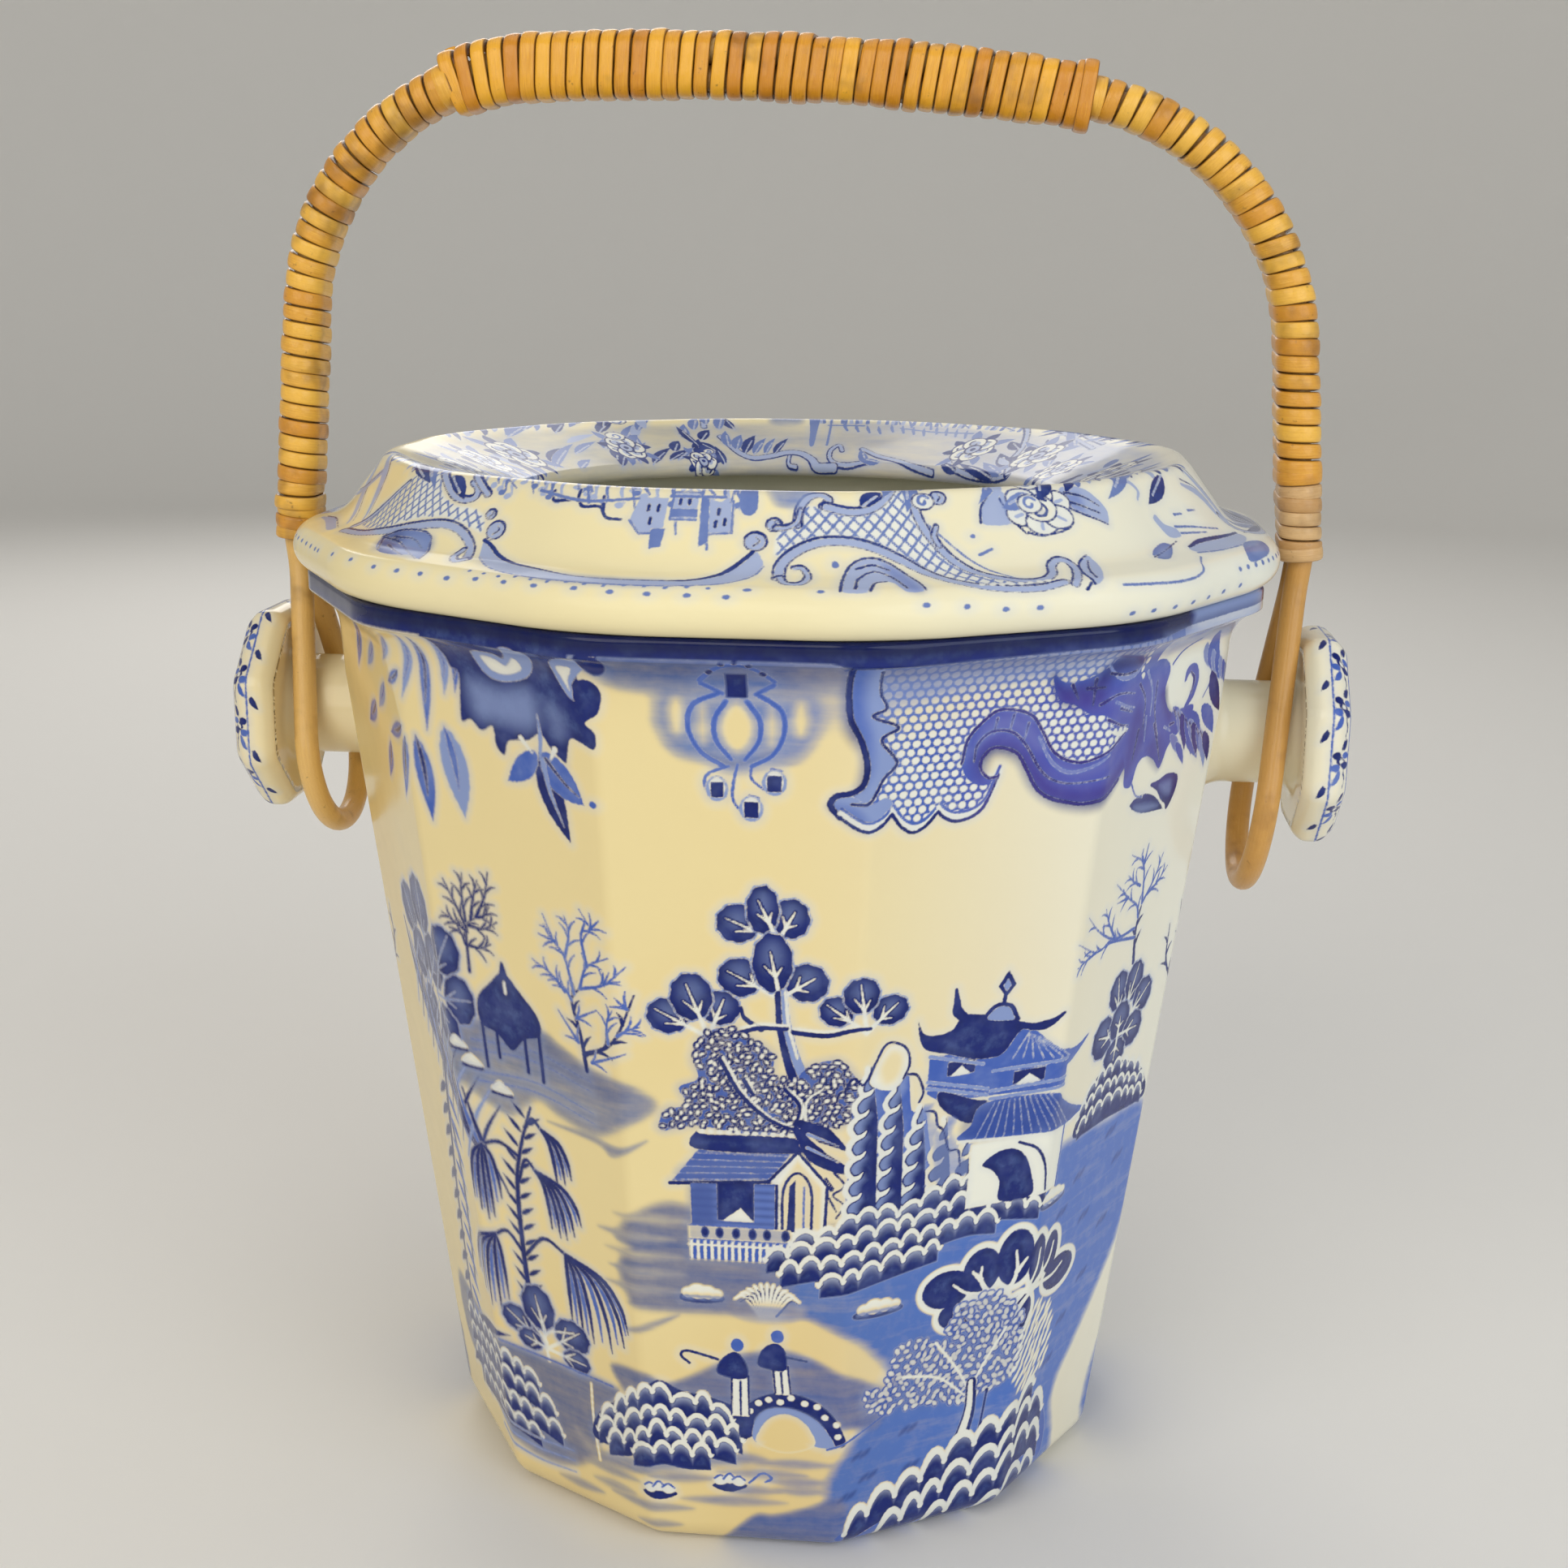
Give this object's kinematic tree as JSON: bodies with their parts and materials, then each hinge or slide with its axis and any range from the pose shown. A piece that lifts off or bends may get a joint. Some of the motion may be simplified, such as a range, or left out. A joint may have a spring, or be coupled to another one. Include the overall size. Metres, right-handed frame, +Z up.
{
  "type": "slop jar",
  "caption": "Faceted glazed earthenware slop pail with blue printed scenes, a loose drainer ring in its mouth, side lugs and a swinging cane-bound bail handle.",
  "frame": {"origin": "centre of the foot, on the ground", "axes": "+Z up, +X through the two lugs, front towards -Y"},
  "size_m": [0.328, 0.283, 0.4208],
  "materials": {
    "printed_glaze": "glossy glaze over blue print",
    "light_printed_glaze": "glossy glaze over light blue print",
    "lug_glaze": "glossy cream glaze",
    "cane": "smooth natural cane skin",
    "cane_strip": "glossy amber split cane",
    "pale_cane_strip": "satin pale split cane"
  },
  "bodies": {
    "pail": {"jar_body": "printed_glaze", "left_lug": "lug_glaze", "right_lug": "lug_glaze"},
    "drainer": {"drainer": "light_printed_glaze"},
    "handle": {"left_cane_hoop": "cane", "right_cane_hoop": "cane", "left_leg_wrap": "cane_strip", "right_leg_wrap": "cane_strip", "grip_wrap": "cane_strip", "left_end_lashing": "pale_cane_strip", "right_end_lashing": "pale_cane_strip"}
  },
  "joints": [
    {"name": "handle_swing", "type": "hinge", "parent": "pail", "child": "handle", "pos_m": [0, 0, 0.223], "axis": [1, 0, 0], "range_deg": [-133, 133]},
    {"name": "drainer_lift", "type": "slide", "parent": "pail", "child": "drainer", "axis": [0, 0, 1], "range_m": [0, 0.015]}
  ]
}
